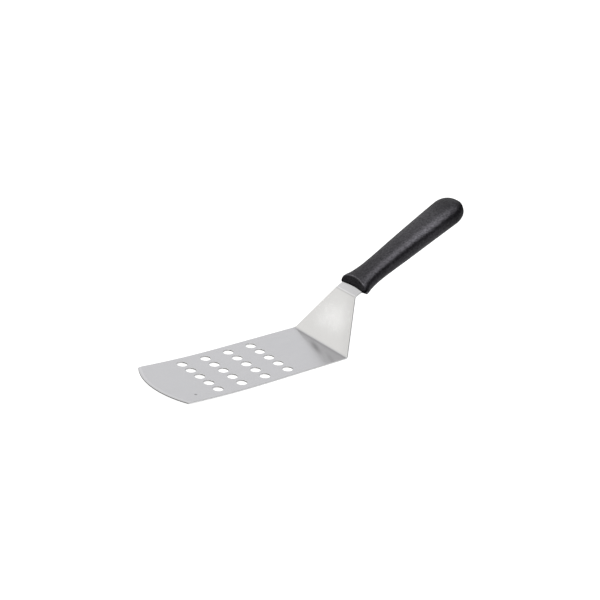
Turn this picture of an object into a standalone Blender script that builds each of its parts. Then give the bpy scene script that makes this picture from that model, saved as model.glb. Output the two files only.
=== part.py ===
"""Grill spatula: a cranked, perforated turner made of two pieces.

blade   one stamping of stainless sheet: perforated blade, riser, neck and the tang hidden in the handle
handle  one polypropylene moulding over the tang, held by two pegs that pass through the tang's holes

Metres, +Z up. The blade points to -X and its flat underside lies on z = 0, the handle rises to +X, and
the origin is the centre of the spatula's box, at the base.
"""

import math

import bmesh
import bpy
from mathutils import Vector, geometry

# Stainless sheet
SHEET = 0.00125
HEEL_RADIUS = 0.0026
SHOULDER_RADIUS = 0.0028

# Blade, measured forward from the heel bend
HEEL_WIDTH = 0.0758
FRONT_WIDTH = 0.0773
SIDE_LENGTH = 0.1678
FRONT_BOW = 0.0106
FRONT_CORNER_RADIUS = 0.0006
CURL_START = 0.085
CURL_RADIUS = 1.05
GRIND_WIDTH = 0.0022
GRIND_EDGE = 0.0008
GRIND_OVERRUN = math.radians(2)

# Drain holes
HOLE_RADIUS = 0.0046
HOLE_COLUMNS = 4
HOLE_ROWS = 5
COLUMN_PITCH = 0.0243
ROW_PITCH = 0.01355
HEEL_TO_HOLES = 0.0578

# Riser and neck, measured back from the heel bend
RISER_ANGLE = math.radians(59.3)
RISER_LENGTH = 0.0505
HEEL_CORNER_LEAD = 0.0007
HEEL_CORNER_RADIUS = 0.003
SHOULDER_CORNER_RADIUS = 0.003
NECK_WIDTH = 0.027
NECK_LENGTH = 0.0083

# Tang, measured from the handle's mouth
HANDLE_ANGLE = math.radians(25.2)
TANG_LENGTH = 0.088
TANG_WIDTH = 0.014
TANG_TAPER = (0.001, 0.014)
TANG_CORNER_RADIUS = 0.004
TANG_HOLES = (0.034, 0.068)
TANG_HOLE_RADIUS = 0.003

# Handle, measured from its mouth
HANDLE_LENGTH = 0.1358
FLARE_LENGTH = 0.026
BUTT_LENGTH = 0.0175
BUTT_ROUNDNESS = 2.2
SECTION_ROUNDNESS = 2.7
# distance from the mouth, half width, height over the sheet's middle, depth under it
HANDLE_PROFILE = (
    (0.000, 0.0179, 0.0067, 0.0069),
    (0.005, 0.0162, 0.0075, 0.0081),
    (0.012, 0.0136, 0.0075, 0.0085),
    (FLARE_LENGTH, 0.0121, 0.0077, 0.0085),
    (0.060, 0.0131, 0.0092, 0.0097),
    (0.092, 0.0147, 0.0097, 0.0100),
    (0.119, 0.0158, 0.0100, 0.0106),
)
MOUTH_HOLLOW = 0.00125
MOUTH_LEAN = 0.82
MOUTH_CORNER_START = 0.012
MOUTH_CORNER_RADIUS = 0.0042
MOUTH_CHAMFER = 0.0004

CLEARANCE = 0.0003
POCKET_LEAD = 0.006
SHARP_ANGLE = math.radians(35)

# How finely the round shapes are cut
HOLE_SIDES = 24
ARC_STEP = math.radians(7.5)
CURL_STEPS = 10
FRONT_STEPS = 28
RING_SIDES = 44
MOUTH_RING_SCALES = (0.25, 0.5, 0.75)
FLARE_RINGS = 8
BODY_RINGS = 24
BUTT_RINGS = 8

# Where the flat blank bends, as distances along it from the heel
HEEL_TANGENT = HEEL_RADIUS * math.tan(RISER_ANGLE / 2)
SHOULDER_TURN = RISER_ANGLE - HANDLE_ANGLE
SHOULDER_TANGENT = SHOULDER_RADIUS * math.tan(SHOULDER_TURN / 2)
HEEL_START = -HEEL_TANGENT
HEEL_END = HEEL_START + HEEL_RADIUS * RISER_ANGLE
SHOULDER_START = HEEL_END + RISER_LENGTH - HEEL_TANGENT - SHOULDER_TANGENT
SHOULDER_END = SHOULDER_START + SHOULDER_RADIUS * SHOULDER_TURN
MOUTH = SHOULDER_END + NECK_LENGTH - SHOULDER_TANGENT
TANG_END = MOUTH + TANG_LENGTH
# length and turn of each stretch, from the start of the curl towards the handle
STRETCHES = (
    (HEEL_START + CURL_START, 0.0),
    (HEEL_END - HEEL_START, RISER_ANGLE),
    (SHOULDER_START - HEEL_END, 0.0),
    (SHOULDER_END - SHOULDER_START, -SHOULDER_TURN),
    (TANG_END - SHOULDER_END, 0.0),
)
FRONT_RADIUS = ((FRONT_WIDTH / 2) ** 2 + FRONT_BOW**2) / (2 * FRONT_BOW)
FRONT_CENTRE = FRONT_RADIUS - SIDE_LENGTH - FRONT_BOW


def clear_scene():
    for obj in list(bpy.data.objects):
        bpy.data.objects.remove(obj)


def material(name, colour, roughness, metallic):
    made = bpy.data.materials.new(name)
    made.use_nodes = True
    shader = made.node_tree.nodes["Principled BSDF"]
    shader.inputs["Base Color"].default_value = (*colour, 1.0)
    shader.inputs["Roughness"].default_value = roughness
    shader.inputs["Metallic"].default_value = metallic
    return made


def object_of(name, mesh_builder):
    """A new object whose mesh is what the bmesh builder holds, with its faces pointing outwards."""
    bmesh.ops.recalc_face_normals(mesh_builder, faces=mesh_builder.faces)
    mesh = bpy.data.meshes.new(name)
    mesh_builder.to_mesh(mesh)
    mesh_builder.free()
    made = bpy.data.objects.new(name, mesh)
    bpy.context.collection.objects.link(made)
    return made


def steps_between(start, end, count):
    return [start + (end - start) * step / count for step in range(count + 1)]


# ---- Flat outlines, as (distance along the blank, distance across it) ----


def filleted(corners):
    """The closed outline through (along, across, radius) corners, each rounded by its radius."""
    outline = []
    for index, (along, across, radius) in enumerate(corners):
        corner = Vector((along, across))
        if radius == 0:
            outline.append(corner)
            continue
        back = (Vector(corners[index - 1][:2]) - corner).normalized()
        ahead = (Vector(corners[(index + 1) % len(corners)][:2]) - corner).normalized()
        half_angle = back.angle(ahead) / 2
        centre = corner + (back + ahead).normalized() * radius / math.sin(half_angle)
        first = corner + back * radius / math.tan(half_angle) - centre
        sweep = -first.angle_signed(corner + ahead * radius / math.tan(half_angle) - centre)
        steps = max(2, math.ceil(abs(sweep) / (2 * ARC_STEP)))
        for step in range(steps + 1):
            turn = sweep * step / steps
            cos, sin = math.cos(turn), math.sin(turn)
            outline.append(centre + Vector((first.x * cos - first.y * sin, first.x * sin + first.y * cos)))
    return outline


def front_arc(radius, half_angle):
    """Points along the bowed front edge, or along a line parallel to it, from -Y to +Y."""
    angles = steps_between(-half_angle, half_angle, FRONT_STEPS)
    return [(FRONT_CENTRE - radius * math.cos(angle), radius * math.sin(angle)) for angle in angles]


def mirrored(half):
    """A closed list of corners from those on the +Y side, given from one end to the other."""
    return half + [(along, -across, radius) for along, across, radius in reversed(half)]


def tang_corners(margin):
    """The +Y corners of the tang and of the neck beside it, margin further out than the sheet."""
    wide = NECK_WIDTH / 2 + margin
    narrow = TANG_WIDTH / 2 + margin
    return [
        (MOUTH + TANG_TAPER[0], wide, 0.0),
        (MOUTH + TANG_TAPER[1], narrow, TANG_CORNER_RADIUS),
        (TANG_END + margin, narrow, TANG_CORNER_RADIUS),
    ]


def blank_outline():
    half_angle = math.asin(FRONT_WIDTH / 2 / FRONT_RADIUS)
    arc = front_arc(FRONT_RADIUS, half_angle)
    front = [(along, across, 0.0) for along, across in arc[1:-1]]
    shoulder = (SHOULDER_START + SHOULDER_END) / 2
    side = [
        (*arc[-1], FRONT_CORNER_RADIUS),
        (-HEEL_CORNER_LEAD, HEEL_WIDTH / 2, HEEL_CORNER_RADIUS),
        (shoulder, NECK_WIDTH / 2, SHOULDER_CORNER_RADIUS),
    ]
    return filleted(front + mirrored(side + tang_corners(0.0)))


def circle(along, across, radius, sides=HOLE_SIDES):
    angles = [2 * math.pi * step / sides for step in range(sides)]
    return [Vector((along + radius * math.cos(a), across + radius * math.sin(a))) for a in angles]


def drain_holes():
    holes = []
    for column in range(HOLE_COLUMNS):
        for row in range(HOLE_ROWS):
            along = -(HEEL_TO_HOLES + column * COLUMN_PITCH)
            across = (row - (HOLE_ROWS - 1) / 2) * ROW_PITCH
            holes.append(circle(along, across, HOLE_RADIUS))
    return holes


def tang_holes(radius):
    return [circle(MOUTH + distance, 0.0, radius) for distance in TANG_HOLES]


def contains(outline, point):
    """Whether a closed outline holds a point, by counting the sides that a ray from it crosses."""
    inside = False
    for a, b in zip(outline, outline[1:] + outline[:1]):
        if (a.y > point.y) != (b.y > point.y):
            if point.x < a.x + (point.y - a.y) * (b.x - a.x) / (b.y - a.y):
                inside = not inside
    return inside


def plate(outline, holes, lines, thickness):
    """A flat plate of this outline and these holes, with extra edges along the open lines."""
    points, edges = [], []
    for loop in [outline, *holes]:
        start = len(points)
        points += loop
        edges += [(start + i, start + (i + 1) % len(loop)) for i in range(len(loop))]
    for line in lines:
        start = len(points)
        points += [Vector(point) for point in line]
        edges += [(start + i, start + i + 1) for i in range(len(line) - 1)]
    flat_points, _, triangles, *_ = geometry.delaunay_2d_cdt(points, edges, [], 0, 1e-7)
    builder = bmesh.new()
    verts = [builder.verts.new((point.x, point.y, -thickness / 2)) for point in flat_points]
    for triangle in triangles:
        middle = sum((flat_points[i] for i in triangle), Vector((0.0, 0.0))) / 3
        in_hole = any(contains(hole, middle) for hole in holes)
        if contains(outline, middle) and not in_hole:
            builder.faces.new([verts[i] for i in triangle])
    bmesh.ops.delete(builder, geom=[vert for vert in verts if not vert.link_faces], context="VERTS")
    top = bmesh.ops.extrude_face_region(builder, geom=builder.faces[:])["geom"]
    moved = [item for item in top if isinstance(item, bmesh.types.BMVert)]
    bmesh.ops.translate(builder, verts=moved, vec=(0.0, 0.0, thickness))
    return builder


# ---- Bending the flat blank ----


def middle_line(along):
    """The point and the heading of the sheet's middle line at a distance along the blank."""
    if along < -CURL_START:
        turn = -(CURL_START + along) / CURL_RADIUS
        rise = CURL_RADIUS * (1 - math.cos(turn))
        return Vector((-CURL_START - CURL_RADIUS * math.sin(turn), 0.0, rise)), -turn
    point = Vector((-CURL_START, 0.0, 0.0))
    heading = 0.0
    left = along + CURL_START
    for length, turn in STRETCHES:
        run = min(left, length)
        end = heading + turn * run / length
        if turn:
            radius = length / turn
            step = (math.sin(end) - math.sin(heading), 0.0, math.cos(heading) - math.cos(end))
            point += radius * Vector(step)
        else:
            point += run * Vector((math.cos(heading), 0.0, math.sin(heading)))
        heading = end
        left -= run
    return point, heading


def ground_down(along, across):
    """How much the grinding takes off the top at the front edge."""
    out = math.hypot(along - FRONT_CENTRE, across) - (FRONT_RADIUS - GRIND_WIDTH)
    if along > -SIDE_LENGTH + FRONT_BOW or out < 0:
        return 0.0
    return (SHEET - GRIND_EDGE) * min(out / GRIND_WIDTH, 1.0)


def bend(builder):
    for vert in builder.verts:
        along, across, offset = vert.co
        if offset > 0:
            offset -= ground_down(along, across)
        point, heading = middle_line(along)
        normal = Vector((-math.sin(heading), 0.0, math.cos(heading)))
        vert.co = point + normal * offset + Vector((0.0, across, SHEET / 2))


def bend_lines():
    """Lines across the blank where the sheet curves, and the back edge of the grinding."""
    heel_steps = math.ceil(RISER_ANGLE / ARC_STEP)
    shoulder_steps = math.ceil(SHOULDER_TURN / ARC_STEP)
    stations = steps_between(-SIDE_LENGTH - FRONT_BOW, -CURL_START, CURL_STEPS)
    stations += steps_between(HEEL_START, HEEL_END, heel_steps)
    stations += steps_between(SHOULDER_START, SHOULDER_END, shoulder_steps)
    lines = [((along, -FRONT_WIDTH), (along, FRONT_WIDTH)) for along in stations]
    grind_half_angle = math.asin(FRONT_WIDTH / 2 / FRONT_RADIUS) + GRIND_OVERRUN
    lines.append(front_arc(FRONT_RADIUS - GRIND_WIDTH, grind_half_angle))
    return lines


def make_blade():
    holes = drain_holes() + tang_holes(TANG_HOLE_RADIUS)
    builder = plate(blank_outline(), holes, bend_lines(), SHEET)
    bend(builder)
    blade = object_of("blade", builder)
    blade.data.materials.append(material("brushed_stainless", (0.62, 0.62, 0.61), 0.34, 1.0))
    return blade


# ---- Handle, modelled along its own +X from the mouth ----


def profile_at(distance):
    """Half width, height and depth of the handle's section, on a smooth curve through the profile."""
    table = HANDLE_PROFILE
    distance = min(max(distance, table[0][0]), table[-1][0])
    index = max(i for i in range(len(table) - 1) if table[i][0] <= distance)
    start, end = table[index], table[index + 1]
    before, after = table[max(index - 1, 0)], table[min(index + 2, len(table) - 1)]
    span = end[0] - start[0]
    t = (distance - start[0]) / span
    values = []
    for k in (1, 2, 3):
        slope_in = (end[k] - before[k]) / (end[0] - before[0]) * span
        slope_out = (after[k] - start[k]) / (after[0] - start[0]) * span
        from_start = (2 * t**3 - 3 * t**2 + 1) * start[k] + (t**3 - 2 * t**2 + t) * slope_in
        from_end = (3 * t**2 - 2 * t**3) * end[k] + (t**3 - t**2) * slope_out
        values.append(from_start + from_end)
    return values


def signed_power(value, power):
    return math.copysign(abs(value) ** power, value)


def section(distance, scale=1.0):
    """One ring of the handle: a rounded rectangle, scaled about its own centre."""
    half_width, height, depth = profile_at(distance)
    centre, half_height = (height - depth) / 2, (height + depth) / 2
    ring = []
    for step in range(RING_SIDES):
        angle = 2 * math.pi * (step + 0.5) / RING_SIDES
        across = half_width * scale * signed_power(math.cos(angle), 2 / SECTION_ROUNDNESS)
        up = half_height * scale * signed_power(math.sin(angle), 2 / SECTION_ROUNDNESS)
        ring.append(Vector((distance, across, centre + up)))
    return ring


def mouth_face(point):
    """How far back the mouth's face lies: hollow in plan, round at its corners, leaning back from the neck."""
    hollow = MOUTH_HOLLOW * (2 * point.y / NECK_WIDTH) ** 2
    corner = max(abs(point.y) - MOUTH_CORNER_START, 0.0) ** 2 / (2 * MOUTH_CORNER_RADIUS)
    return MOUTH_LEAN * abs(point.z) + corner - hollow


def mouth_rings():
    """Rings over the mouth's face, from near its middle out to the rim, and the start of the flare."""
    half_width = HANDLE_PROFILE[0][1]
    rings = []
    for scale in (*MOUTH_RING_SCALES, 1 - MOUTH_CHAMFER / half_width):
        ring = section(0.0, scale)
        rings.append([Vector((mouth_face(point), point.y, point.z)) for point in ring])
    rim = section(0.0)
    rings.append([Vector((mouth_face(point) + MOUTH_CHAMFER, point.y, point.z)) for point in rim])
    return rings


def flare_rings(rim):
    """Rings from the rim back to where the flare has died out, each one straighter than the last."""
    rings = []
    for share in steps_between(0, 1, FLARE_RINGS)[1:]:
        ring = []
        for index, start in enumerate(rim):
            distance = start.x + (FLARE_LENGTH - start.x) * share
            ring.append(Vector((distance, *section(distance)[index].yz)))
        rings.append(ring)
    return rings


def handle_rings():
    rings = mouth_rings()
    rings += flare_rings(rings[-1])
    butt_start = HANDLE_LENGTH - BUTT_LENGTH
    rings += [section(distance) for distance in steps_between(FLARE_LENGTH, butt_start, BODY_RINGS)[1:]]
    for step in range(1, BUTT_RINGS):
        angle = math.pi / 2 * step / BUTT_RINGS
        distance = butt_start + BUTT_LENGTH * math.sin(angle)
        scale = (1 - math.sin(angle) ** BUTT_ROUNDNESS) ** (1 / BUTT_ROUNDNESS)
        rings.append(section(distance, scale))
    return rings


def capped(builder, ring, tip):
    """Triangles from a ring of vertices to one vertex at tip."""
    centre = builder.verts.new(tip)
    for a, b in zip(ring, ring[1:] + ring[:1]):
        builder.faces.new((a, b, centre))


def handle_skin():
    builder = bmesh.new()
    rings = [[builder.verts.new(point) for point in ring] for ring in handle_rings()]
    for near, far in zip(rings, rings[1:]):
        for i in range(RING_SIDES):
            j = (i + 1) % RING_SIDES
            builder.faces.new((near[i], near[j], far[j], far[i]))
    _, height, depth = profile_at(HANDLE_LENGTH)
    mouth_middle = (HANDLE_PROFILE[0][2] - HANDLE_PROFILE[0][3]) / 2
    first = Vector((0.0, 0.0, mouth_middle))
    capped(builder, rings[0], (mouth_face(first), 0.0, mouth_middle))
    capped(builder, rings[-1], (HANDLE_LENGTH, 0.0, (height - depth) / 2))
    return builder


def tang_pocket():
    """The pocket's cutter: the tang with clearance, less the pegs, starting in front of the mouth."""
    half = [(MOUTH - POCKET_LEAD, NECK_WIDTH / 2 + CLEARANCE, 0.0)] + tang_corners(CLEARANCE)
    outline = filleted(mirrored(half))
    builder = plate(outline, tang_holes(TANG_HOLE_RADIUS - CLEARANCE), [], SHEET + 2 * CLEARANCE)
    bmesh.ops.translate(builder, verts=builder.verts, vec=(-MOUTH, 0.0, 0.0))
    cutter = object_of("tang_pocket_cutter", builder)
    cutter.hide_render = True
    cutter.display_type = "WIRE"
    return cutter


def make_handle():
    handle = object_of("handle", handle_skin())
    handle.data.shade_smooth()
    handle.data.set_sharp_from_angle(angle=SHARP_ANGLE)
    handle.data.materials.append(material("black_polypropylene", (0.018, 0.018, 0.02), 0.5, 0.0))
    cutter = tang_pocket()
    pocket = handle.modifiers.new("tang_pocket", "BOOLEAN")
    pocket.operation = "DIFFERENCE"
    pocket.solver = "EXACT"
    pocket.object = cutter
    mouth, _ = middle_line(MOUTH)
    for obj in (handle, cutter):
        obj.location = mouth + Vector((0.0, 0.0, SHEET / 2))
        obj.rotation_euler = (0.0, -HANDLE_ANGLE, 0.0)
    return handle, cutter


def corners_x(obj):
    return [(obj.matrix_world @ vert.co).x for vert in obj.data.vertices]


def make_spatula():
    clear_scene()
    blade = make_blade()
    handle, cutter = make_handle()
    bpy.context.view_layer.update()
    reach = corners_x(blade) + corners_x(handle)
    spatula = bpy.data.objects.new("grill_spatula", None)
    bpy.context.collection.objects.link(spatula)
    for obj in (blade, handle, cutter):
        obj.parent = spatula
    spatula.location.x = -(min(reach) + max(reach)) / 2


make_spatula()
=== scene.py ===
"""Looks of the grill spatula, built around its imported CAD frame.

Two pieces stand for the two CAD nodes: the stamped stainless blade, with its rounded and ground edges,
and the grained polypropylene handle, with its pocket round the tang. Both repeat the CAD model's
driving dimensions and take their place from the frame. Metres, +Z up, the blade points to -X.
"""

import math

import bmesh
import bpy
from mathutils import Matrix, Vector, geometry


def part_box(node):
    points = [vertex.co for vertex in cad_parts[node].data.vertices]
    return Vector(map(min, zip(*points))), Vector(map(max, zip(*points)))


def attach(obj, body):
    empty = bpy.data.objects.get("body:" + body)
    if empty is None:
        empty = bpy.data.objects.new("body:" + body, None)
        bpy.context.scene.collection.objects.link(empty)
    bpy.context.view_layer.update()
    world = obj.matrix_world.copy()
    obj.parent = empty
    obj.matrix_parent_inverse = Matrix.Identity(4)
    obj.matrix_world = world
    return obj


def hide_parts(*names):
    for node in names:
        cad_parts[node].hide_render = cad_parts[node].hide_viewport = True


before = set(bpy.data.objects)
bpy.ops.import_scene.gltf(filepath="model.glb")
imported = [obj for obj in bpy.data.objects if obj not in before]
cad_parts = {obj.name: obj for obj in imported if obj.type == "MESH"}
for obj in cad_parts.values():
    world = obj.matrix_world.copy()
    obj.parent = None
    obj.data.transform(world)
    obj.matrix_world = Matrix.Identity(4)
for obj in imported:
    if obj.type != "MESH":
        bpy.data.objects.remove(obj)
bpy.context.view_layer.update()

# ---- Dimensions of the stainless sheet, as in the CAD model ----

SHEET = 0.00125
HEEL_RADIUS = 0.0026
SHOULDER_RADIUS = 0.0028
HEEL_WIDTH = 0.0758
FRONT_WIDTH = 0.0773
SIDE_LENGTH = 0.1678
FRONT_BOW = 0.0106
FRONT_CORNER_RADIUS = 0.0006
CURL_START = 0.085
CURL_RADIUS = 1.05
GRIND_WIDTH = 0.0022
GRIND_EDGE = 0.0008
GRIND_OVERRUN = math.radians(2)
HOLE_RADIUS = 0.0046
HOLE_COLUMNS = 4
HOLE_ROWS = 5
COLUMN_PITCH = 0.0243
ROW_PITCH = 0.01355
HEEL_TO_HOLES = 0.0578
RISER_ANGLE = math.radians(59.3)
RISER_LENGTH = 0.0505
HEEL_CORNER_LEAD = 0.0007
HEEL_CORNER_RADIUS = 0.003
SHOULDER_CORNER_RADIUS = 0.003
NECK_WIDTH = 0.027
NECK_LENGTH = 0.0083
HANDLE_ANGLE = math.radians(25.2)
TANG_LENGTH = 0.088
TANG_WIDTH = 0.014
TANG_TAPER = (0.001, 0.014)
TANG_CORNER_RADIUS = 0.004
TANG_HOLES = (0.034, 0.068)
TANG_HOLE_RADIUS = 0.003

# ---- Dimensions of the handle, as in the CAD model ----

HANDLE_LENGTH = 0.1358
FLARE_LENGTH = 0.026
BUTT_LENGTH = 0.0175
BUTT_ROUNDNESS = 2.2
SECTION_ROUNDNESS = 2.7
# distance from the mouth, half width, height over the sheet's middle, depth under it
HANDLE_PROFILE = (
    (0.000, 0.0179, 0.0067, 0.0069),
    (0.005, 0.0162, 0.0075, 0.0081),
    (0.012, 0.0136, 0.0075, 0.0085),
    (FLARE_LENGTH, 0.0121, 0.0077, 0.0085),
    (0.060, 0.0131, 0.0092, 0.0097),
    (0.092, 0.0147, 0.0097, 0.0100),
    (0.119, 0.0158, 0.0100, 0.0106),
)
MOUTH_HOLLOW = 0.00125
MOUTH_LEAN = 0.82
MOUTH_CORNER_START = 0.012
MOUTH_CORNER_RADIUS = 0.0042
POCKET_LEAD = 0.006

# ---- Finer details, which the CAD model leaves out or has coarser ----

# The rounding of the sheet's cut edges, and the stretch in which the grinding reaches its slope
EDGE_ROUND = 0.00022
GRIND_BLEND = 0.0004
# The rounding of the mouth's rim, and the pocket's gap round the tang
MOUTH_ROUND = 0.0012
POCKET_GAP = 0.0002

# ---- How finely the meshes are cut ----

HOLE_SIDES = 72
FRONT_STEPS = 90
FILLET_STEP = math.radians(6)
EDGE_STEPS = 4
FEWEST_FILLET_STEPS = 3
BEND_STEP = math.radians(2.5)
CURL_STEPS = 24
GRID_PITCH = 0.004
RING_SIDES = 160
MOUTH_SCALES = (0.12, 0.25, 0.38, 0.5, 0.6, 0.7, 0.78, 0.85, 0.91)
ROUND_STEPS = 6
FLARE_RINGS = 26
BODY_RINGS = 70
BUTT_RINGS = 34
SHARP_ANGLE = math.radians(40)

# Where the flat blank bends, as distances along it from the heel
HEEL_TANGENT = HEEL_RADIUS * math.tan(RISER_ANGLE / 2)
SHOULDER_TURN = RISER_ANGLE - HANDLE_ANGLE
SHOULDER_TANGENT = SHOULDER_RADIUS * math.tan(SHOULDER_TURN / 2)
HEEL_START = -HEEL_TANGENT
HEEL_END = HEEL_START + HEEL_RADIUS * RISER_ANGLE
SHOULDER_START = HEEL_END + RISER_LENGTH - HEEL_TANGENT - SHOULDER_TANGENT
SHOULDER_END = SHOULDER_START + SHOULDER_RADIUS * SHOULDER_TURN
MOUTH = SHOULDER_END + NECK_LENGTH - SHOULDER_TANGENT
TANG_END = MOUTH + TANG_LENGTH
# length and turn of each stretch, from the start of the curl towards the handle
STRETCHES = (
    (HEEL_START + CURL_START, 0.0),
    (HEEL_END - HEEL_START, RISER_ANGLE),
    (SHOULDER_START - HEEL_END, 0.0),
    (SHOULDER_END - SHOULDER_START, -SHOULDER_TURN),
    (TANG_END - SHOULDER_END, 0.0),
)
FRONT_RADIUS = ((FRONT_WIDTH / 2) ** 2 + FRONT_BOW**2) / (2 * FRONT_BOW)
FRONT_CENTRE = FRONT_RADIUS - SIDE_LENGTH - FRONT_BOW

# Where the heel bend lies in the frame: the front edge's reach from it is known, and that edge is
# the low X end of the blade's CAD box
FRONT_TURN = (SIDE_LENGTH + FRONT_BOW - CURL_START) / CURL_RADIUS
FRONT_REACH = CURL_START + (CURL_RADIUS + SHEET / 2) * math.sin(FRONT_TURN)
HEEL = Vector((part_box("blade")[0].x + FRONT_REACH, 0.0, SHEET))


def steps_between(start, end, count):
    return [start + (end - start) * step / count for step in range(count + 1)]


def new_object(name, data):
    made = bpy.data.objects.new(name, data)
    bpy.context.scene.collection.objects.link(made)
    return made


# ---- The flat blank, as (distance along it, distance across it) ----


def filleted(corners):
    """The closed outline through (along, across, radius) corners, each rounded by its radius."""
    outline = []
    for index, (along, across, radius) in enumerate(corners):
        corner = Vector((along, across))
        if radius == 0:
            outline.append(corner)
            continue
        back = (Vector(corners[index - 1][:2]) - corner).normalized()
        ahead = (Vector(corners[(index + 1) % len(corners)][:2]) - corner).normalized()
        half_angle = back.angle(ahead) / 2
        centre = corner + (back + ahead).normalized() * radius / math.sin(half_angle)
        first = corner + back * radius / math.tan(half_angle) - centre
        sweep = -first.angle_signed(corner + ahead * radius / math.tan(half_angle) - centre)
        steps = max(FEWEST_FILLET_STEPS, math.ceil(abs(sweep) / FILLET_STEP))
        for turn in steps_between(0.0, sweep, steps):
            cos, sin = math.cos(turn), math.sin(turn)
            turned = Vector((first.x * cos - first.y * sin, first.x * sin + first.y * cos))
            outline.append(centre + turned)
    return outline


def front_arc(radius, half_angle):
    """Points along the bowed front edge, or along a line parallel to it, from -Y to +Y."""
    angles = steps_between(-half_angle, half_angle, FRONT_STEPS)
    return [(FRONT_CENTRE - radius * math.cos(angle), radius * math.sin(angle)) for angle in angles]


def mirrored(half):
    """A closed list of corners from those on the +Y side, given from one end to the other."""
    return half + [(along, -across, radius) for along, across, radius in reversed(half)]


def tang_corners(margin):
    """The +Y corners of the tang and of the neck beside it, margin further out than the sheet."""
    wide = NECK_WIDTH / 2 + margin
    narrow = TANG_WIDTH / 2 + margin
    return [
        (MOUTH + TANG_TAPER[0], wide, 0.0),
        (MOUTH + TANG_TAPER[1], narrow, TANG_CORNER_RADIUS),
        (TANG_END + margin, narrow, TANG_CORNER_RADIUS),
    ]


def blank_outline():
    half_angle = math.asin(FRONT_WIDTH / 2 / FRONT_RADIUS)
    arc = front_arc(FRONT_RADIUS, half_angle)
    front = [(along, across, 0.0) for along, across in arc[1:-1]]
    side = [
        (*arc[-1], FRONT_CORNER_RADIUS),
        (-HEEL_CORNER_LEAD, HEEL_WIDTH / 2, HEEL_CORNER_RADIUS),
        ((SHOULDER_START + SHOULDER_END) / 2, NECK_WIDTH / 2, SHOULDER_CORNER_RADIUS),
    ]
    return filleted(front + mirrored(side + tang_corners(0.0)))


def circle(along, across, radius, sides=HOLE_SIDES):
    angles = [2 * math.pi * step / sides for step in range(sides)]
    return [Vector((along + radius * math.cos(a), across + radius * math.sin(a))) for a in angles]


def drain_holes():
    holes = []
    for column in range(HOLE_COLUMNS):
        for row in range(HOLE_ROWS):
            along = -(HEEL_TO_HOLES + column * COLUMN_PITCH)
            across = (row - (HOLE_ROWS - 1) / 2) * ROW_PITCH
            holes.append(circle(along, across, HOLE_RADIUS))
    return holes


def tang_holes(radius):
    return [circle(MOUTH + distance, 0.0, radius, HOLE_SIDES // 2) for distance in TANG_HOLES]


def contains(outline, point):
    """Whether a closed outline holds a point, by counting the sides that a ray from it crosses."""
    inside = False
    for a, b in zip(outline, outline[1:] + outline[:1]):
        if (a.y > point.y) != (b.y > point.y):
            if point.x < a.x + (point.y - a.y) * (b.x - a.x) / (b.y - a.y):
                inside = not inside
    return inside


def area_of(loop):
    return sum(a.cross(b) for a, b in zip(loop, loop[1:] + loop[:1])) / 2


def outward(loop):
    """The way out at each point of a loop that runs anticlockwise round material, as long as its mitre."""
    ways = []
    for before, point, after in zip(loop[-1:] + loop[:-1], loop, loop[1:] + loop[:1]):
        back, ahead = (point - before).normalized(), (after - point).normalized()
        way = Vector((back.y + ahead.y, -back.x - ahead.x)).normalized()
        ways.append(way / way.dot(Vector((ahead.y, -ahead.x))))
    return ways


def inset(loop, distance):
    return [point - way * distance for point, way in zip(loop, outward(loop))]


# What delaunay_2d_cdt fills, and how close two points are when it takes them as one
WHOLE_HULL = 0
SAME_POINT = 1e-8


def flat_triangles(outline, holes, lines):
    """Points and triangles that fill an outline around its holes, with edges along the open lines."""
    points, edges = [], []
    for loop in [outline, *holes]:
        start = len(points)
        points += loop
        edges += [(start + i, start + (i + 1) % len(loop)) for i in range(len(loop))]
    for line in lines:
        start = len(points)
        points += [Vector(point) for point in line]
        edges += [(start + i, start + i + 1) for i in range(len(line) - 1)]
    flat, _, triangles, *_ = geometry.delaunay_2d_cdt(points, edges, [], WHOLE_HULL, SAME_POINT)
    kept = []
    for triangle in triangles:
        middle = sum((flat[i] for i in triangle), Vector((0.0, 0.0))) / 3
        in_hole = any(contains(hole, middle) for hole in holes)
        if contains(outline, middle) and not in_hole:
            kept.append(triangle)
    return flat, kept


def boundary_loops(triangles):
    """The edges that one triangle has to itself, strung into loops with the material on their left."""
    directed = {(t[i], t[(i + 1) % 3]) for t in triangles for i in range(3)}
    following = {a: b for a, b in directed if (b, a) not in directed}
    loops = []
    while following:
        start, at = following.popitem()
        loop = [start]
        while at != start:
            loop.append(at)
            at = following.pop(at)
        loops.append(loop)
    return loops


# ---- Bending and grinding the blank ----


def middle_line(along):
    """The point and the heading of the sheet's middle line at a distance along the blank."""
    if along < -CURL_START:
        turn = -(CURL_START + along) / CURL_RADIUS
        rise = CURL_RADIUS * (1 - math.cos(turn))
        return Vector((-CURL_START - CURL_RADIUS * math.sin(turn), 0.0, rise)), -turn
    point = Vector((-CURL_START, 0.0, 0.0))
    heading = 0.0
    left = along + CURL_START
    for length, turn in STRETCHES:
        run = min(left, length)
        end = heading + turn * run / length
        if turn:
            radius = length / turn
            step = (math.sin(end) - math.sin(heading), 0.0, math.cos(heading) - math.cos(end))
            point += radius * Vector(step)
        else:
            point += run * Vector((math.cos(heading), 0.0, math.sin(heading)))
        heading = end
        left -= run
    return point, heading


def ground_thickness(along, across):
    """The sheet's thickness as a share of SHEET, which the grinding brings down at the front edge."""
    out = math.hypot(along - FRONT_CENTRE, across) - (FRONT_RADIUS - GRIND_WIDTH)
    if along > -SIDE_LENGTH + FRONT_BOW or out < 0:
        return 1.0
    if out < GRIND_BLEND:
        run = out**2 / (2 * GRIND_BLEND)
    else:
        run = out - GRIND_BLEND / 2
    share = min(run / (GRIND_WIDTH - GRIND_BLEND / 2), 1.0)
    return 1 - share * (1 - GRIND_EDGE / SHEET)


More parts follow.
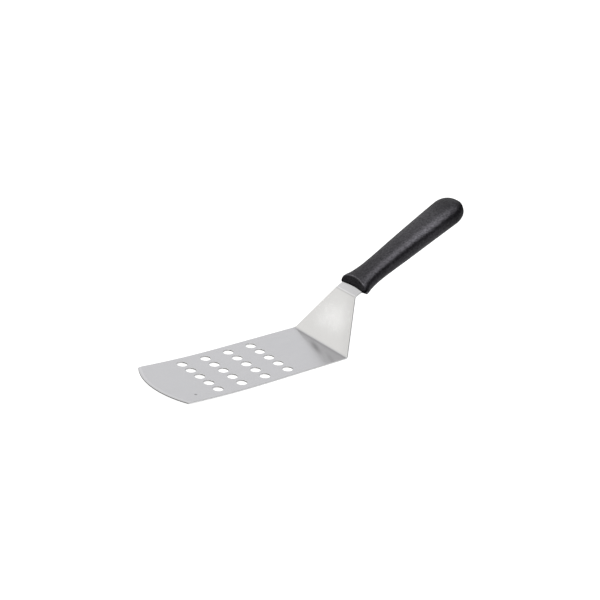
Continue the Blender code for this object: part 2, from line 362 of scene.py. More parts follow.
def bent(point):
    """Where a point of the flat blank, (along, across, offset from its middle), ends up in the frame."""
    along, across, offset = point
    offset = (offset + SHEET / 2) * ground_thickness(along, across) - SHEET / 2
    middle, heading = middle_line(along)
    normal = Vector((-math.sin(heading), 0.0, math.cos(heading)))
    return middle + normal * offset + Vector((HEEL.x, across, SHEET / 2))


def bent_normal(point, normal):
    """The way a surface of the flat blank faces after bending and grinding."""
    step = 2e-5
    axes = (Vector((step, 0, 0)), Vector((0, step, 0)), Vector((0, 0, step)))
    slopes = [(bent(point + axis) - bent(point - axis)) / (2 * step) for axis in axes]
    return (Matrix(slopes).inverted() @ normal).normalized()


def grid_lines():
    """A grid over the blank, finer across it where the sheet curves, and lines along the grinding."""
    stations = steps_between(-SIDE_LENGTH - FRONT_BOW, -CURL_START, CURL_STEPS)
    stations += steps_between(HEEL_START, HEEL_END, math.ceil(RISER_ANGLE / BEND_STEP))
    stations += steps_between(SHOULDER_START, SHOULDER_END, math.ceil(SHOULDER_TURN / BEND_STEP))
    stations += steps_between(-CURL_START, HEEL_START, round(CURL_START / GRID_PITCH))[1:-1]
    stations += steps_between(HEEL_END, SHOULDER_START, round(RISER_LENGTH / GRID_PITCH))[1:-1]
    stations += steps_between(SHOULDER_END, TANG_END, round(TANG_LENGTH / GRID_PITCH))[1:]
    lines = [((along, -FRONT_WIDTH), (along, FRONT_WIDTH)) for along in stations]
    rows = steps_between(-FRONT_WIDTH / 2, FRONT_WIDTH / 2, round(FRONT_WIDTH / GRID_PITCH))[1:-1]
    lines += [((-SIDE_LENGTH - FRONT_BOW, across), (TANG_END, across)) for across in rows]
    half_angle = math.asin(FRONT_WIDTH / 2 / FRONT_RADIUS) + GRIND_OVERRUN
    for out in (0.0, GRIND_BLEND / 2, GRIND_BLEND, GRIND_WIDTH / 2):
        lines.append(front_arc(FRONT_RADIUS - GRIND_WIDTH + out, half_angle))
    return lines


# The material slots of the sheet's mesh, in the order that make_blade fills them
FACE, SIDE_WALL, HOLE_WALL, FRONT_WALL, RISER_WALL = range(5)


def sheet_mesh(name):
    """The bent sheet, with rounded edges, exact normals and its flat pattern kept as UVs in metres."""
    outline = blank_outline()
    if area_of(outline) < 0:
        outline.reverse()
    inner_holes = [inset(hole, -EDGE_ROUND) for hole in drain_holes() + tang_holes(TANG_HOLE_RADIUS)]
    flat, triangles = flat_triangles(inset(outline, EDGE_ROUND), inner_holes, grid_lines())

    points, normals, faces = [], [], []

    def add_ring(loop, ways, side, lean):
        """One ring of an edge: lean runs from 0 on the face, side 1 or -1, to a right angle on the wall."""
        start = len(points)
        out = EDGE_ROUND * math.sin(lean)
        height = side * (SHEET / 2 - EDGE_ROUND * (1 - math.cos(lean)))
        for index, way in zip(loop, ways):
            spot = flat[index] + way * out
            points.append(Vector((*spot, height)))
            normals.append(Vector((*way.normalized() * math.sin(lean), side * math.cos(lean))))
        return list(range(start, len(points)))

    for side in (1, -1):
        used = sorted({index for triangle in triangles for index in triangle})
        number = {index: len(points) + place for place, index in enumerate(used)}
        points += [Vector((*flat[index], side * SHEET / 2)) for index in used]
        normals += [Vector((0.0, 0.0, side)) for _ in used]
        faces += [[number[index] for index in triangle[::side]] for triangle in triangles]
        if side == 1:
            top = number
        else:
            bottom = number
    kinds = [FACE] * len(faces)
    leans = steps_between(0.0, math.pi / 2, EDGE_STEPS)[1:]
    # the outline is the longest loop, so it comes last
    loops = sorted(boundary_loops(triangles), key=len)
    for loop in loops:
        ways = outward([flat[index] for index in loop])
        rings = [[top[index] for index in loop]]
        rings += [add_ring(loop, ways, 1, lean) for lean in leans]
        rings += [add_ring(loop, ways, -1, lean) for lean in reversed(leans)]
        rings.append([bottom[index] for index in loop])
        for upper, lower in zip(rings, rings[1:]):
            for i in range(len(loop)):
                j = (i + 1) % len(loop)
                faces.append([upper[j], upper[i], lower[i], lower[j]])
                if loop is not loops[-1]:
                    kinds.append(HOLE_WALL)
                elif flat[loop[i]].x < -SIDE_LENGTH:
                    kinds.append(FRONT_WALL)
                elif flat[loop[i]].x > HEEL_END:
                    kinds.append(RISER_WALL)
                else:
                    kinds.append(SIDE_WALL)

    mesh = bpy.data.meshes.new(name)
    mesh.from_pydata([bent(point) for point in points], [], faces)
    uv = mesh.uv_layers.new(name="flat_pattern")
    for loop in mesh.loops:
        uv.data[loop.index].uv = points[loop.vertex_index].xy
    for polygon in mesh.polygons:
        polygon.material_index = kinds[polygon.index]
    mesh.shade_smooth()
    ways_out = [bent_normal(point, normal) for point, normal in zip(points, normals)]
    mesh.normals_split_custom_set_from_vertices(ways_out)
    return mesh


# ---- The handle, modelled along its own +X from the mouth ----


def profile_at(distance):
    """Half width, height and depth of the handle's section, on a smooth curve through the profile."""
    table = HANDLE_PROFILE
    distance = min(max(distance, table[0][0]), table[-1][0])
    index = max(i for i in range(len(table) - 1) if table[i][0] <= distance)
    start, end = table[index], table[index + 1]
    before, after = table[max(index - 1, 0)], table[min(index + 2, len(table) - 1)]
    span = end[0] - start[0]
    t = (distance - start[0]) / span
    values = []
    for k in (1, 2, 3):
        slope_in = (end[k] - before[k]) / (end[0] - before[0]) * span
        slope_out = (after[k] - start[k]) / (after[0] - start[0]) * span
        from_start = (2 * t**3 - 3 * t**2 + 1) * start[k] + (t**3 - 2 * t**2 + t) * slope_in
        from_end = (3 * t**2 - 2 * t**3) * end[k] + (t**3 - t**2) * slope_out
        values.append(from_start + from_end)
    return values


def signed_power(value, power):
    return math.copysign(abs(value) ** power, value)


def section_point(distance, step, scale=1.0):
    """One point of the handle's section, a rounded rectangle scaled about its own centre."""
    half_width, height, depth = profile_at(distance)
    centre, half_height = (height - depth) / 2, (height + depth) / 2
    angle = 2 * math.pi * (step + 0.5) / RING_SIDES
    across = half_width * scale * signed_power(math.cos(angle), 2 / SECTION_ROUNDNESS)
    up = half_height * scale * signed_power(math.sin(angle), 2 / SECTION_ROUNDNESS)
    return Vector((distance, across, centre + up))


def mouth_face(point):
    """How far back the mouth's face lies: hollow in plan, round at its corners, leaning off the neck."""
    hollow = MOUTH_HOLLOW * (2 * point.y / NECK_WIDTH) ** 2
    corner = max(abs(point.y) - MOUTH_CORNER_START, 0.0) ** 2 / (2 * MOUTH_CORNER_RADIUS)
    return MOUTH_LEAN * abs(point.z) + corner - hollow


def on_mouth(step, scale):
    point = section_point(0.0, step, scale)
    return Vector((mouth_face(point), point.y, point.z))


def on_skin(step, rim, distance):
    """A point on the handle's outside, distance behind its rim where the rim is at the mouth."""
    share = distance / FLARE_LENGTH
    along = rim + (FLARE_LENGTH - rim) * share
    return section_point(along, step)


def handle_rings():
    """Rings of points from the middle of the mouth, over its rounded rim and along to the butt."""
    half_width = HANDLE_PROFILE[0][1]
    steps = range(RING_SIDES)
    rims = [on_mouth(step, 1.0).x for step in steps]
    rings = [[on_mouth(step, scale) for step in steps] for scale in MOUTH_SCALES]
    inner = [on_mouth(step, 1 - MOUTH_ROUND / half_width) for step in steps]
    corner = [Vector((rims[step], *section_point(rims[step], step).yz)) for step in steps]
    outer = [on_skin(step, rims[step], MOUTH_ROUND) for step in steps]
    for t in steps_between(0.0, 1.0, ROUND_STEPS):
        ring = []
        for a, b, c in zip(inner, corner, outer):
            ring.append((1 - t) ** 2 * a + 2 * t * (1 - t) * b + t**2 * c)
        rings.append(ring)
    for distance in steps_between(MOUTH_ROUND, FLARE_LENGTH, FLARE_RINGS)[1:]:
        rings.append([on_skin(step, rims[step], distance) for step in steps])
    butt_start = HANDLE_LENGTH - BUTT_LENGTH
    for distance in steps_between(FLARE_LENGTH, butt_start, BODY_RINGS)[1:]:
        rings.append([section_point(distance, step) for step in steps])
    for angle in steps_between(0.0, math.pi / 2, BUTT_RINGS)[1:-1]:
        distance = butt_start + BUTT_LENGTH * math.sin(angle)
        scale = (1 - math.sin(angle) ** BUTT_ROUNDNESS) ** (1 / BUTT_ROUNDNESS)
        rings.append([section_point(distance, step, scale) for step in steps])
    return rings


def capped(builder, ring, tip):
    """Triangles from a ring of vertices to one vertex at tip."""
    centre = builder.verts.new(tip)
    for a, b in zip(ring, ring[1:] + ring[:1]):
        builder.faces.new((a, b, centre))


# The material slots of the handle's mesh, in the order that handle_mesh fills them
GRIP, RIM = range(2)


def skin_builder():
    builder = bmesh.new()
    rings = [[builder.verts.new(point) for point in ring] for ring in handle_rings()]
    first_rim = len(MOUTH_SCALES)
    for place, (near, far) in enumerate(zip(rings, rings[1:])):
        for i in range(RING_SIDES):
            j = (i + 1) % RING_SIDES
            face = builder.faces.new((near[i], near[j], far[j], far[i]))
            face.material_index = RIM if first_rim <= place < first_rim + ROUND_STEPS else GRIP
    _, height, depth = profile_at(HANDLE_LENGTH)
    mouth_middle = (HANDLE_PROFILE[0][2] - HANDLE_PROFILE[0][3]) / 2
    capped(builder, rings[0], (mouth_face(Vector((0.0, 0.0, mouth_middle))), 0.0, mouth_middle))
    capped(builder, rings[-1], (HANDLE_LENGTH, 0.0, (height - depth) / 2))
    bmesh.ops.recalc_face_normals(builder, faces=builder.faces)
    return builder


def pocket_builder():
    """The tang's space: neck and tang a little larger, less the pegs, starting in front of the mouth."""
    half = [(MOUTH - POCKET_LEAD, NECK_WIDTH / 2 + POCKET_GAP, 0.0)] + tang_corners(POCKET_GAP)
    outline = filleted(mirrored(half))
    holes = tang_holes(TANG_HOLE_RADIUS - POCKET_GAP)
    flat, triangles = flat_triangles(outline, holes, [])
    builder = bmesh.new()
    bottom = -SHEET / 2 - POCKET_GAP
    verts = [builder.verts.new((point.x - MOUTH, point.y, bottom)) for point in flat]
    for triangle in triangles:
        builder.faces.new([verts[i] for i in triangle])
    bmesh.ops.delete(builder, geom=[vert for vert in verts if not vert.link_faces], context="VERTS")
    top = bmesh.ops.extrude_face_region(builder, geom=builder.faces[:])["geom"]
    moved = [item for item in top if isinstance(item, bmesh.types.BMVert)]
    bmesh.ops.translate(builder, verts=moved, vec=(0.0, 0.0, -2 * bottom))
    bmesh.ops.recalc_face_normals(builder, faces=builder.faces)
    return builder


def mesh_of(name, builder):
    mesh = bpy.data.meshes.new(name)
    builder.to_mesh(mesh)
    builder.free()
    return mesh


def handle_mesh():
    """The handle's outside with the pocket cut into it, placed in the frame."""
    skin = new_object("handle_skin", mesh_of("handle_skin", skin_builder()))
    skin.data.materials.append(polypropylene("grained_polypropylene", polish=0.0, roughness=0.39))
    skin.data.materials.append(polypropylene("worn_rim", polish=1.1, roughness=0.3))
    cutter = new_object("pocket_cutter", mesh_of("pocket_cutter", pocket_builder()))
    pocket = skin.modifiers.new("pocket", "BOOLEAN")
    pocket.operation = "DIFFERENCE"
    pocket.solver = "EXACT"
    pocket.object = cutter
    bpy.context.view_layer.update()
    evaluated = skin.evaluated_get(bpy.context.evaluated_depsgraph_get())
    mesh = bpy.data.meshes.new_from_object(evaluated)
    bpy.data.objects.remove(skin)
    bpy.data.objects.remove(cutter)
    mouth, _ = middle_line(MOUTH)
    place = Matrix.Translation(mouth + Vector((HEEL.x, 0.0, SHEET / 2)))
    mesh.transform(place @ Matrix.Rotation(-HANDLE_ANGLE, 4, "Y"))
    mesh.shade_smooth()
    mesh.set_sharp_from_angle(angle=SHARP_ANGLE)
    return mesh


# ---- Materials ----

# Steel: how tightly its noises are packed along and across the sheet, its grain's depth and its colour
HAIRLINE_SCALE = (45, 5200, 1)
STREAK_SCALE = (14, 700, 1)
STEEL_MOTTLE_SCALE = 90.0
HAIRLINE_DEPTH = 0.0000015
CUT_GRAIN_SCALE = 2500.0
STEEL_COLOUR = (0.5, 0.499, 0.505)
# How far its noises change its shade and its roughness
STREAK_SHADE = 0.022
STREAK_ROUGHNESS = 0.02
STEEL_MOTTLE_SHADE = (0.985, 1.015)
STEEL_MOTTLE_ROUGHNESS = (0.17, 0.23)
CUT_GRAIN_SHADE = (0.9, 1.1)
CUT_GRAIN_ROUGHNESS = 0.05
# Painted shade and a painted highlight across the sheet at the shoulder bend: place along it, half width,
# change of shade
BEND_LINE_WIDTH = 0.0009
PAINTED_BEND_LINES = (
    ((SHOULDER_START * 2 + SHOULDER_END) / 3, BEND_LINE_WIDTH, -0.13),
    (SHOULDER_END, BEND_LINE_WIDTH, 0.16),
)
# A painted highlight along the line where the grinding of the front edge starts
GROUND_LINE_WIDTH = 0.0011
GRIND_LINE_HIGHLIGHT = 0.11
# Painted shade: soft dark bands at the heel bend and inside the riser's -Y side
HEEL_SHADOW_WIDTH = 4 * BEND_LINE_WIDTH
HEEL_SHADOW_SHADE = -0.17
SIDE_SHADOW_WIDTH = 0.016
SIDE_SHADOW_SHADE = -0.07
RISER_SLOPE = (HEEL_WIDTH - NECK_WIDTH) / (SHOULDER_START + SHOULDER_END)
# Painted reflection of the riser as dark streaks by the heel: place along the slanted line, half width,
# place across, reach across, shade
REFLECTION_SLANT = 0.36
REFLECTION_STREAKS = (
    (-0.0083, 0.004, -0.006, 0.019, -0.36),
    (-0.0022, 0.0034, -0.032, 0.016, -0.17),
    (-0.0135, 0.005, 0.024, 0.016, -0.06),
)
SPECK_PLACE = (-0.1537, -0.028, 0.0)
SPECK_REACH = 0.0021
SPECK_SHADE = -0.62
# How far up a face has to look to take this painted shade and reflection and the speck, so that the
# underside has none
UPPER_SIDE = (0.0, 0.3)

# Plastic: its colour, its gloss and how tightly its noises are packed
PLASTIC_COLOUR = (0.0055, 0.0053, 0.0062)
PLASTIC_TINT = (0.93, 0.9, 1.0, 1.0)
PLASTIC_GLOSS = 0.31
PLASTIC_IOR = 1.49
GRAIN_SCALE = 1500.0
PIT_SCALE = 620.0
BLOOM_SCALE = 70.0
GRAIN_DEPTH = 0.00004
PIT_DEPTH = 0.00018
# How far its noises change its shade, its roughness and its gloss
BLOOM_SHADE = (0.85, 1.15)
PIT_SHADE = (0.7, 1.3)
BLOOM_ROUGHNESS = 0.04
GRAIN_ROUGHNESS = 0.04
BLOOM_GLOSS = (0.9, 1.1)
PIT_GLOSS = (0.5, 1.5)
# The handle's own axes and the middle of its mouth, as heights and distances along them
HANDLE_AXIS = (math.cos(HANDLE_ANGLE), 0.0, math.sin(HANDLE_ANGLE))
HANDLE_UP = (-math.sin(HANDLE_ANGLE), 0.0, math.cos(HANDLE_ANGLE))
MOUTH_PLACE = middle_line(MOUTH)[0] + Vector((HEEL.x, 0.0, SHEET / 2))
MOUTH_HEIGHT = MOUTH_PLACE.dot(Vector(HANDLE_UP))
MOUTH_BEHIND = MOUTH_PLACE.dot(Vector(HANDLE_AXIS))
# The rim is polished above the neck, from its -Y corner on
RIM_RISE = (MOUTH_HEIGHT + 0.0005, MOUTH_HEIGHT + 0.0025)
RIM_FADE = (-0.0145, -0.0095)
# A painted shadow darkens the slit where the sheet goes in: half its height, and how far behind the mouth
# it fades
ENTRY_HEIGHT = 0.002
ENTRY_FADE = (MOUTH_BEHIND + 0.005, MOUTH_BEHIND + 0.009)
ENTRY_SHADE = -0.85
# Stretches along X over which the handle's gloss rises behind its mouth and falls before its butt
MOUTH_FADE = (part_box("handle")[0].x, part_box("handle")[0].x + 0.08)
BUTT_FADE = (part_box("handle")[1].x - 0.042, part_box("handle")[1].x - 0.014)
MOUTH_GLOSS = (0.7, 1.1)
# The colour darkens towards the butt as painted shade
BUTT_PAINTED_SHADE = 0.7
BUTT_GLOSS = 0.42
# The gloss left where a face turns away from the viewer, and how far it has turned by then
OUTLINE_GLOSS = 0.1
OUTLINE_FADE = (0.45, 0.95)


class Nodes:
    """A short way to write a material's node tree."""

    def __init__(self, name):
        self.material = bpy.data.materials.new(name)
        self.material.use_nodes = True
        self.tree = self.material.node_tree
        self.shader = self.tree.nodes["Principled BSDF"]

    @classmethod
    def of_world(cls, world):
        nodes = cls.__new__(cls)
        nodes.tree = world.node_tree
        return nodes

    def add(self, kind, inputs=None, **settings):
        node = self.tree.nodes.new("ShaderNode" + kind)
        for name, value in settings.items():
            setattr(node, name, value)
        for name, value in (inputs or {}).items():
            self.set(node.inputs[name], value)
        return node

    def set(self, socket, value):
        if isinstance(value, bpy.types.NodeSocket):
            self.tree.links.new(value, socket)
        else:
            socket.default_value = value

    def noise(self, vector, scale, detail=2.0, roughness=0.5):
        inputs = {"Vector": vector, "Scale": scale, "Detail": detail, "Roughness": roughness}
        return self.add("TexNoise", inputs).outputs["Fac"]

    def stretched(self, vector, scale):
        return self.add("Mapping", {"Vector": vector, "Scale": scale}).outputs["Vector"]

    def ranged(self, value, low, high, start=0.3, end=0.7):
        """low to high as value goes from start to end, which are a noise's usual limits."""
        inputs = {"Value": value, "From Min": start, "From Max": end, "To Min": low, "To Max": high}
        return self.add("MapRange", inputs).outputs["Result"]

    def smooth(self, value, low, high, start, end):
        """low where value is at or under start and high at or over end, with a smooth step between."""
        inputs = {"Value": value, "From Min": start, "From Max": end, "To Min": low, "To Max": high}
        node = self.add("MapRange", inputs, interpolation_type="SMOOTHSTEP")
        return node.outputs["Result"]

    def near(self, value, centre, reach):
        """1 where value is at centre, fading smoothly to 0 at reach from it."""
        gap = self.add("Math", {0: self.sum(value, -centre)}, operation="ABSOLUTE").outputs[0]
        return self.smooth(gap, 1.0, 0.0, 0.0, reach)

    def gap(self, vector, other):
        """How far apart two places are."""
        node = self.add("VectorMath", {0: vector, 1: other}, operation="DISTANCE")
        return node.outputs["Value"]

    def product(self, a, b):
        node = self.add("Math", operation="MULTIPLY")
        self.set(node.inputs[0], a)
        self.set(node.inputs[1], b)
        return node.outputs[0]

    def sum(self, a, b):
        node = self.add("Math", operation="ADD")
        self.set(node.inputs[0], a)
        self.set(node.inputs[1], b)
        return node.outputs[0]

    def dot(self, vector, other):
        node = self.add("VectorMath", operation="DOT_PRODUCT")
        self.set(node.inputs[0], vector)
        node.inputs[1].default_value = other
        return node.outputs["Value"]

    def scaled_colour(self, colour, factor):
        node = self.add("VectorMath", operation="SCALE")
        node.inputs[0].default_value = colour
        self.set(node.inputs["Scale"], factor)
        return node.outputs["Vector"]

    def bump(self, height, distance, normal=None):
        inputs = {"Height": height, "Distance": distance}
        if normal:
            inputs["Normal"] = normal
        return self.add("Bump", inputs).outputs["Normal"]


def painted_bend_and_grind_lines(nodes, pattern, along):
    """Painted shade and a painted highlight along the shoulder bend, and a painted highlight where the
    grinding starts.
    """
    shade_marks = 0.0
    # painted shade and painted highlight along the shoulder bend
    for place, half_width, shade in PAINTED_BEND_LINES:
        shade_marks = nodes.sum(shade_marks, nodes.product(nodes.near(along, place, half_width), shade))
    # a painted highlight along the line where the grinding starts
    from_front = nodes.sum(nodes.gap(pattern, (FRONT_CENTRE, 0.0, 0.0)), -FRONT_RADIUS)
    at_front = nodes.smooth(along, 1.0, 0.0, FRONT_CENTRE - FRONT_RADIUS / 2, FRONT_CENTRE)
    line = nodes.product(nodes.near(from_front, -GRIND_WIDTH, GROUND_LINE_WIDTH), at_front)
    return nodes.sum(shade_marks, nodes.product(line, GRIND_LINE_HIGHLIGHT))


def painted_shade_reflection_and_speck(nodes, pattern, along):
    """Painted shade by the heel and the riser's side, a painted reflection as dark streaks, and a speck, on
    upper sides only.
    """
    across = nodes.dot(pattern, (0.0, 1.0, 0.0))
    slanted = nodes.dot(pattern, (1.0, -REFLECTION_SLANT, 0.0))
    # painted shade at the heel bend and along the riser's -Y side
    heel_shadow = nodes.product(nodes.near(along, HEEL_START, HEEL_SHADOW_WIDTH), HEEL_SHADOW_SHADE)
    from_side = nodes.sum(nodes.dot(pattern, (-RISER_SLOPE, 1.0, 0.0)), HEEL_WIDTH / 2)
    on_riser = nodes.smooth(along, 0.0, 1.0, 0.0, HEEL_END)
    by_side = nodes.smooth(from_side, SIDE_SHADOW_SHADE, 0.0, 0.0, SIDE_SHADOW_WIDTH)
    speck = nodes.product(nodes.near(nodes.gap(pattern, SPECK_PLACE), 0.0, SPECK_REACH), SPECK_SHADE)
    shade = nodes.sum(nodes.sum(heel_shadow, nodes.product(by_side, on_riser)), speck)
    # a painted reflection of the riser, as dark streaks by the heel
    for spot, half_width, centre, reach, strength in REFLECTION_STREAKS:
        reflection_streak = nodes.product(nodes.near(slanted, spot, half_width), nodes.near(across, centre, reach))
        shade = nodes.sum(shade, nodes.product(reflection_streak, strength))
    facing_up = nodes.dot(nodes.add("NewGeometry").outputs["Normal"], (0.0, 0.0, 1.0))
    return nodes.product(shade, nodes.smooth(facing_up, 0.0, 1.0, *UPPER_SIDE))


def brushed_steel():
    """Stainless sheet with a fine lengthwise grain and streaks, painted highlights, shade and reflection,
    and a speck.
    """
    nodes = Nodes("brushed_steel")
    pattern = nodes.add("UVMap", uv_map="flat_pattern").outputs["UV"]
    along = nodes.dot(pattern, (1.0, 0.0, 0.0))
    hairlines = nodes.noise(nodes.stretched(pattern, HAIRLINE_SCALE), 1.0, detail=3.0, roughness=0.6)
    streaks = nodes.noise(nodes.stretched(pattern, STREAK_SCALE), 1.0, detail=3.0, roughness=0.55)
    mottle = nodes.noise(pattern, STEEL_MOTTLE_SCALE, detail=3.0)
    streak_shade = nodes.ranged(streaks, -STREAK_SHADE, STREAK_SHADE)
    grain = nodes.sum(streak_shade, nodes.ranged(mottle, *STEEL_MOTTLE_SHADE))
    # painted highlights, shade and reflection, with the speck, lighten or darken the colour
    shade_marks = nodes.sum(painted_bend_and_grind_lines(nodes, pattern, along), painted_shade_reflection_and_speck(nodes, pattern, along))
    colour = nodes.scaled_colour(STEEL_COLOUR, nodes.sum(grain, shade_marks))
    streak_roughness = nodes.ranged(streaks, -STREAK_ROUGHNESS, STREAK_ROUGHNESS)
    rough = nodes.sum(streak_roughness, nodes.ranged(mottle, *STEEL_MOTTLE_ROUGHNESS))
    nodes.set(nodes.shader.inputs["Base Color"], colour)
    nodes.set(nodes.shader.inputs["Roughness"], rough)
    nodes.set(nodes.shader.inputs["Normal"], nodes.bump(hairlines, HAIRLINE_DEPTH))
    nodes.shader.inputs["Metallic"].default_value = 1.0
    return nodes.material


def cut_steel(name, level, roughness):
    """The sheet's cut edges, rougher than its faces: level is how bright the cut is."""
    nodes = Nodes(name)
    place = nodes.add("TexCoord").outputs["Object"]
    grain = nodes.noise(place, CUT_GRAIN_SCALE)
    colour = nodes.scaled_colour((level, level, level), nodes.ranged(grain, *CUT_GRAIN_SHADE))
    rough = nodes.ranged(grain, roughness - CUT_GRAIN_ROUGHNESS, roughness + CUT_GRAIN_ROUGHNESS)
    nodes.set(nodes.shader.inputs["Base Color"], colour)
    nodes.set(nodes.shader.inputs["Roughness"], rough)
    nodes.shader.inputs["Metallic"].default_value = 1.0
    return nodes.material


def polypropylene(name, polish, roughness):
    """Black moulded plastic with a fine sparked grain, painted shadow at the slit and painted shade at the
    butt: polish is the gloss it gains above the neck.
    """
    nodes = Nodes(name)
    place = nodes.add("TexCoord").outputs["Object"]
    height = nodes.dot(place, HANDLE_UP)
    behind = nodes.dot(place, HANDLE_AXIS)
    across = nodes.dot(place, (0.0, 1.0, 0.0))
    along = nodes.dot(place, (1.0, 0.0, 0.0))
    grain = nodes.noise(place, GRAIN_SCALE, roughness=0.6)
    pits = nodes.noise(place, PIT_SCALE, roughness=0.6)
    bloom = nodes.noise(place, BLOOM_SCALE, detail=3.0, roughness=0.6)

    # painted shadow on colour and gloss where the sheet goes into the handle
    slit = nodes.near(height, MOUTH_HEIGHT + SHEET / 2, ENTRY_HEIGHT)
    at_entry = nodes.product(slit, nodes.smooth(behind, 1.0, 0.0, *ENTRY_FADE))
    entry_shadow = nodes.sum(nodes.product(at_entry, ENTRY_SHADE), 1.0)
    mottle = nodes.product(nodes.ranged(bloom, *BLOOM_SHADE), nodes.ranged(pits, *PIT_SHADE))
    # painted shade, darker towards the butt
    at_butt = nodes.smooth(along, 1.0, BUTT_PAINTED_SHADE, *BUTT_FADE)
    shade = nodes.product(nodes.product(mottle, entry_shadow), at_butt)
    nodes.set(nodes.shader.inputs["Base Color"], nodes.scaled_colour(PLASTIC_COLOUR, shade))

    blotches = nodes.ranged(bloom, roughness - BLOOM_ROUGHNESS, roughness + BLOOM_ROUGHNESS)
    rough = nodes.sum(blotches, nodes.ranged(grain, -GRAIN_ROUGHNESS, GRAIN_ROUGHNESS))
    nodes.set(nodes.shader.inputs["Roughness"], rough)

    above_neck = nodes.smooth(height, 0.0, polish, *RIM_RISE)
    above = nodes.product(above_neck, nodes.smooth(across, 0.0, 1.0, *RIM_FADE))
    gloss = nodes.sum(above, PLASTIC_GLOSS)
    to_butt = nodes.smooth(along, 1.0, BUTT_GLOSS, *BUTT_FADE)
    handled = nodes.product(nodes.smooth(along, *MOUTH_GLOSS, *MOUTH_FADE), to_butt)
    facing = nodes.add("LayerWeight", {"Blend": 0.5}).outputs["Facing"]
    matt = nodes.product(nodes.smooth(facing, 1.0, OUTLINE_GLOSS, *OUTLINE_FADE), entry_shadow)
    speckle = nodes.product(nodes.ranged(bloom, *BLOOM_GLOSS), nodes.ranged(pits, *PIT_GLOSS))
    specular = nodes.product(nodes.product(speckle, gloss), nodes.product(handled, matt))
    # the plain value stays for an export that drops the linked one
    nodes.shader.inputs["Specular IOR Level"].default_value = PLASTIC_GLOSS
    nodes.set(nodes.shader.inputs["Specular IOR Level"], specular)

    nodes.shader.inputs["Specular Tint"].default_value = PLASTIC_TINT
    nodes.shader.inputs["IOR"].default_value = PLASTIC_IOR
    coarse = nodes.bump(pits, PIT_DEPTH)
    nodes.set(nodes.shader.inputs["Normal"], nodes.bump(grain, GRAIN_DEPTH, coarse))
    return nodes.material


# ---- The two pieces ----


def make_blade():
    blade = new_object("spatula_blade", sheet_mesh("spatula_blade"))
    blade.data.materials.append(brushed_steel())
    blade.data.materials.append(cut_steel("sheared_steel", level=0.7, roughness=0.4))
    blade.data.materials.append(cut_steel("punched_steel", level=0.62, roughness=0.5))
    # its low level is painted shade: the front edge's cut is darkened into a dark line
    blade.data.materials.append(cut_steel("front_edge_steel", level=0.3, roughness=0.45))
    blade.data.materials.append(cut_steel("riser_edge_steel", level=0.62, roughness=0.4))
    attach(blade, "root")
    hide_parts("blade")


def make_handle():
    handle = new_object("spatula_handle", handle_mesh())
    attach(handle, "root")
    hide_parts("handle")


# ---- Studio ----

FLOOR_RADIUS = 12.0
FLOOR_SIDES = 96
FLOOR_COLOUR = (0.3, 0.3, 0.3, 1.0)
FLOOR_GLOW = 0.97
# The tent's brightness, and how much more of it there is towards -X
TENT_LEVEL = 1.246
TENT_SLANT = 0.2255
HORIZON_LEVEL = 0.12
WALL_RISE = (0.0, 0.2)
# Its tint, from cool towards +X to warm towards -X
TINT_SPREAD = (-0.6, 0.6)
RED_LEVELS = (0.995, 1.004)
GREEN_LEVEL = 0.995
BLUE_LEVELS = (1.015, 0.965)
# What the camera sees behind the floor
BACKDROP_LEVEL = 1.05
# The table that lower faces reflect, brightest on one side
TABLE_LEVEL = 1.05
DARK_TABLE_LEVEL = 0.05
TABLE_SIDE = (0.6, -0.8, 0.0)
TABLE_RISE = (0.0, 0.5)
TABLE_DEPTH = (-0.4, 0.0)
# The dark room beyond the tent's opening
DARK_ROOM = (0.77, -0.64, 0.0)
DARK_LEVEL = 0.04
OPENING_EDGE = (0.15, 0.65)
# The softbox over the handle, and the weak one that the blade mirrors when it is seen from behind
KEY_WAY = (-0.03, -0.31, 0.95)
KEY_POWER = 40.0
BACK_WAY = (0.72, -0.64, 0.27)
BACK_POWER = 2.8
SOFTBOX_DISTANCE = 1.4
SOFTBOX_SIZE = 1.8
# The narrow light on the riser
RISER_SPOT = HEEL + Vector((0.0127, 0.0, 0.0242))
SNOOT_WAY = (-0.654, 0.694, 0.301)
SNOOT_DISTANCE = 1.2
SNOOT_CONE = math.radians(1.75)
SNOOT_POWER = 0.044
SNOOT_LAMP_RADIUS = 0.008
# The camera
CAMERA_AIM = HEEL + Vector((-0.0263, -0.0001, 0.0473))
CAMERA_DISTANCE = 1.3
CAMERA_AZIMUTH = math.radians(-38.82)
CAMERA_ELEVATION = math.radians(23.79)
CAMERA_ROLL = math.radians(2.95)
CAMERA_SENSOR = 36.0
CAMERA_LENS = 89.235


def make_floor():
    """A white table that glows softly, like a light table, and stays out of the metal's reflections."""
    builder = bmesh.new()
    bmesh.ops.create_circle(builder, cap_ends=True, segments=FLOOR_SIDES, radius=FLOOR_RADIUS)
    floor = new_object("studio_floor", mesh_of("studio_floor", builder))
    nodes = Nodes("studio_floor")
    nodes.shader.inputs["Base Color"].default_value = FLOOR_COLOUR
    nodes.shader.inputs["Roughness"].default_value = 1.0
    nodes.shader.inputs["Specular IOR Level"].default_value = 0.0
    nodes.shader.inputs["Emission Color"].default_value = (1.0, 1.0, 1.0, 1.0)
    nodes.shader.inputs["Emission Strength"].default_value = FLOOR_GLOW
    floor.data.materials.append(nodes.material)
    floor.visible_glossy = False


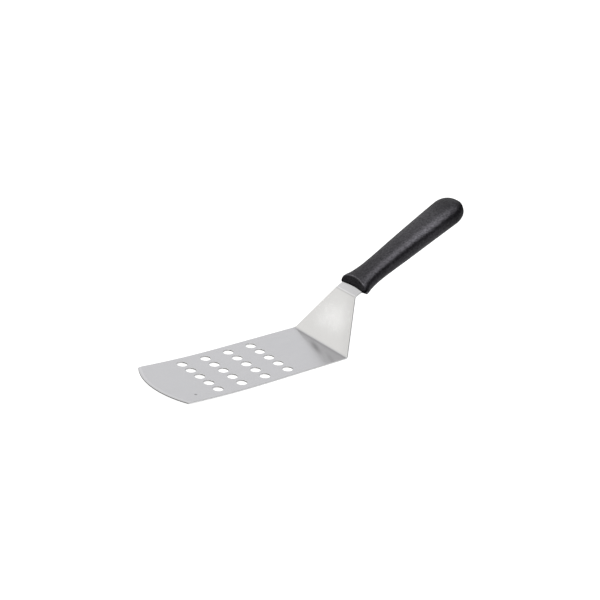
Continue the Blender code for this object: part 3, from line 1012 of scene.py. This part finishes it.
def make_world():
    """A white tent, brighter towards -X, dim at the horizon and open to a dark room at +X, -Y."""
    world = bpy.data.worlds.new("studio")
    bpy.context.scene.world = world
    world.use_nodes = True
    nodes = Nodes.of_world(world)
    way = nodes.add("TexCoord").outputs["Generated"]
    up = nodes.dot(way, (0.0, 0.0, 1.0))
    to_front = nodes.dot(way, (-1.0, 0.0, 0.0))
    slant = nodes.ranged(to_front, 1.0 - TENT_SLANT, 1.0 + TENT_SLANT, -1.0, 1.0)
    wall = nodes.smooth(up, HORIZON_LEVEL, TENT_LEVEL, *WALL_RISE)
    lit_table = nodes.smooth(nodes.dot(way, TABLE_SIDE), DARK_TABLE_LEVEL, TABLE_LEVEL, *TABLE_RISE)
    table = nodes.product(nodes.smooth(up, 1.0, 0.0, *TABLE_DEPTH), lit_table)
    opening = nodes.smooth(nodes.dot(way, DARK_ROOM), 1.0, DARK_LEVEL, *OPENING_EDGE)
    strength = nodes.sum(nodes.product(nodes.product(wall, slant), opening), table)
    seen = nodes.add("LightPath").outputs["Is Camera Ray"]
    seen_or_lit = {"Factor": seen, "A": strength, "B": BACKDROP_LEVEL}
    mixed = nodes.add("Mix", seen_or_lit, data_type="FLOAT").outputs["Result"]
    background = world.node_tree.nodes["Background"]
    nodes.set(background.inputs["Strength"], mixed)
    red = nodes.ranged(to_front, *RED_LEVELS, *TINT_SPREAD)
    blue = nodes.ranged(to_front, *BLUE_LEVELS, *TINT_SPREAD)
    tint = nodes.add("CombineColor", {"Red": red, "Green": GREEN_LEVEL, "Blue": blue})
    nodes.set(background.inputs["Color"], tint.outputs["Color"])


def aimed(location, target):
    """A matrix at location whose -Z axis points at target."""
    turn = (Vector(target) - Vector(location)).to_track_quat("-Z", "Y")
    return Matrix.LocRotScale(Vector(location), turn, None)


def softbox(name, lit, direction, power):
    """A round softbox that lights one piece only, so that no other piece mirrors it."""
    light = bpy.data.lights.new(name, "AREA")
    light.shape = "DISK"
    light.size = SOFTBOX_SIZE
    light.energy = power
    made = new_object(name, light)
    middle = sum((Vector(corner) for corner in lit.bound_box), Vector()) / len(lit.bound_box)
    made.matrix_world = aimed(middle + Vector(direction).normalized() * SOFTBOX_DISTANCE, middle)
    receivers = bpy.data.collections.new(name + "_receivers")
    receivers.objects.link(lit)
    made.light_linking.receiver_collection = receivers


def snoot(name, target, direction, distance, cone, power):
    """A spot narrowed to a soft-edged patch round its target."""
    light = bpy.data.lights.new(name, "SPOT")
    light.spot_size = cone
    light.spot_blend = 1.0
    light.shadow_soft_size = SNOOT_LAMP_RADIUS
    light.energy = power
    made = new_object(name, light)
    made.matrix_world = aimed(target + Vector(direction).normalized() * distance, target)


def make_camera():
    """The camera looks down on the spatula from in front of its blade, on its -Y side."""
    right = Vector((math.cos(CAMERA_AZIMUTH), math.sin(CAMERA_AZIMUTH), 0.0))
    level_back = Vector((math.sin(CAMERA_AZIMUTH), -math.cos(CAMERA_AZIMUTH), 0.0))
    back = (level_back + Vector((0.0, 0.0, math.tan(CAMERA_ELEVATION)))).normalized()
    up = back.cross(right)
    data = bpy.data.cameras.new("camera")
    data.sensor_width = CAMERA_SENSOR
    data.lens = CAMERA_LENS
    camera = new_object("camera", data)
    x_axis = right * math.cos(CAMERA_ROLL) + up * math.sin(CAMERA_ROLL)
    y_axis = up * math.cos(CAMERA_ROLL) - right * math.sin(CAMERA_ROLL)
    turn = Matrix((x_axis, y_axis, back)).transposed()
    camera.matrix_world = Matrix.Translation(CAMERA_AIM + back * CAMERA_DISTANCE) @ turn.to_4x4()
    bpy.context.scene.camera = camera


make_blade()
make_handle()
make_floor()
make_world()
softbox("key_softbox", bpy.data.objects["spatula_handle"], KEY_WAY, KEY_POWER)
softbox("back_softbox", bpy.data.objects["spatula_blade"], BACK_WAY, BACK_POWER)
snoot("riser_light", RISER_SPOT, SNOOT_WAY, SNOOT_DISTANCE, SNOOT_CONE, SNOOT_POWER)
make_camera()
bpy.context.scene.view_settings.view_transform = "Standard"
